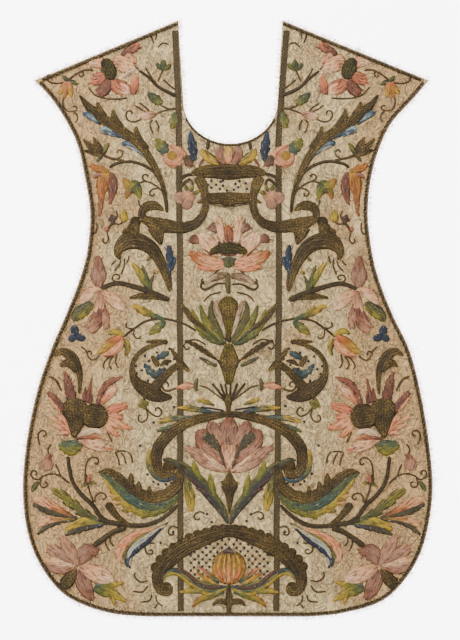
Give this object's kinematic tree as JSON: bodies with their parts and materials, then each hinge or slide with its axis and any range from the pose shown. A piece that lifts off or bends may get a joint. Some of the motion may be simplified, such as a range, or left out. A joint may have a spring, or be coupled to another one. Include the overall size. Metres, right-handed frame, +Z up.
{
  "type": "chasuble",
  "caption": "Fiddleback chasuble laid flat: embroidered silk front over its back panel, U neck, gold bands, twisted edge cord and padded flower and scroll embroidery.",
  "frame": {"origin": "middle of the underside, on the surface that the chasuble lies on", "axes": "+Z up out of the front, +Y from the hem towards the neck, +X to the right as seen from above"},
  "size_m": [0.702, 1.021, 0.0081],
  "materials": {
    "ground_silk": "aged cream silk, finely crackled, soft sheen",
    "back_silk": "plain aged cream silk, matt",
    "gold_band": "tarnished gold galloon, herringbone weave",
    "edge_cord": "tarnished gold cord, two-ply twist",
    "gold_thread": "tarnished gold thread couched over padding, basket pattern",
    "rose_silk": "rose, peach and coral silk floss in shaded long stitches",
    "amber_silk": "yellow, amber and orange silk floss in shaded long stitches",
    "green_silk": "yellow-green, olive and teal silk floss in shaded long stitches",
    "blue_silk": "navy and mid-blue silk floss in shaded long stitches"
  },
  "bodies": {
    "root": {"back_panel": "back_silk", "front_panel": "ground_silk", "band_left": "gold_band", "band_right": "gold_band", "neck_cord": "edge_cord", "side_cord_right": "edge_cord", "hem_cord": "edge_cord", "side_cord_left": "edge_cord", "shoulder_cord_right": "edge_cord", "shoulder_cord_left": "edge_cord", "neck_cartouche": "gold_thread", "neck_tulip": "rose_silk", "fan_flower": "rose_silk", "centre_bud": "green_silk", "centre_stem": "gold_thread", "arch": "gold_thread", "great_flower": "rose_silk", "arrow_leaf": "gold_thread", "hem_arch": "gold_thread", "fruit": "amber_silk", "finial": "gold_thread", "acanthus_left": "gold_thread", "acanthus_right": "gold_thread", "peony_left": "rose_silk", "peony_right": "rose_silk", "neck_rose_left": "rose_silk", "neck_rose_right": "rose_silk", "neck_leaf_left": "blue_silk", "neck_leaf_right": "blue_silk", "side_bud_left": "rose_silk", "side_bud_right": "rose_silk", "lily_left": "amber_silk", "lily_right": "amber_silk", "great_scroll_left": "gold_thread", "great_scroll_right": "gold_thread", "three_petal_left": "rose_silk", "three_petal_right": "rose_silk", "mid_spray_left": "green_silk", "mid_spray_right": "green_silk", "yellow_bud_left": "amber_silk", "yellow_bud_right": "amber_silk", "shell_left": "gold_thread", "shell_right": "gold_thread", "hook_leaf_left": "gold_thread", "hook_leaf_right": "gold_thread", "pomegranate_left": "rose_silk", "pomegranate_right": "rose_silk", "scroll_leaf_left": "green_silk", "scroll_leaf_right": "green_silk", "feather_leaf_left": "blue_silk", "feather_leaf_right": "blue_silk", "side_spray_left": "green_silk", "side_spray_right": "green_silk", "lower_peony_left": "rose_silk", "lower_peony_right": "rose_silk", "s_leaf_left": "green_silk", "s_leaf_right": "green_silk"}
  },
  "joints": []
}
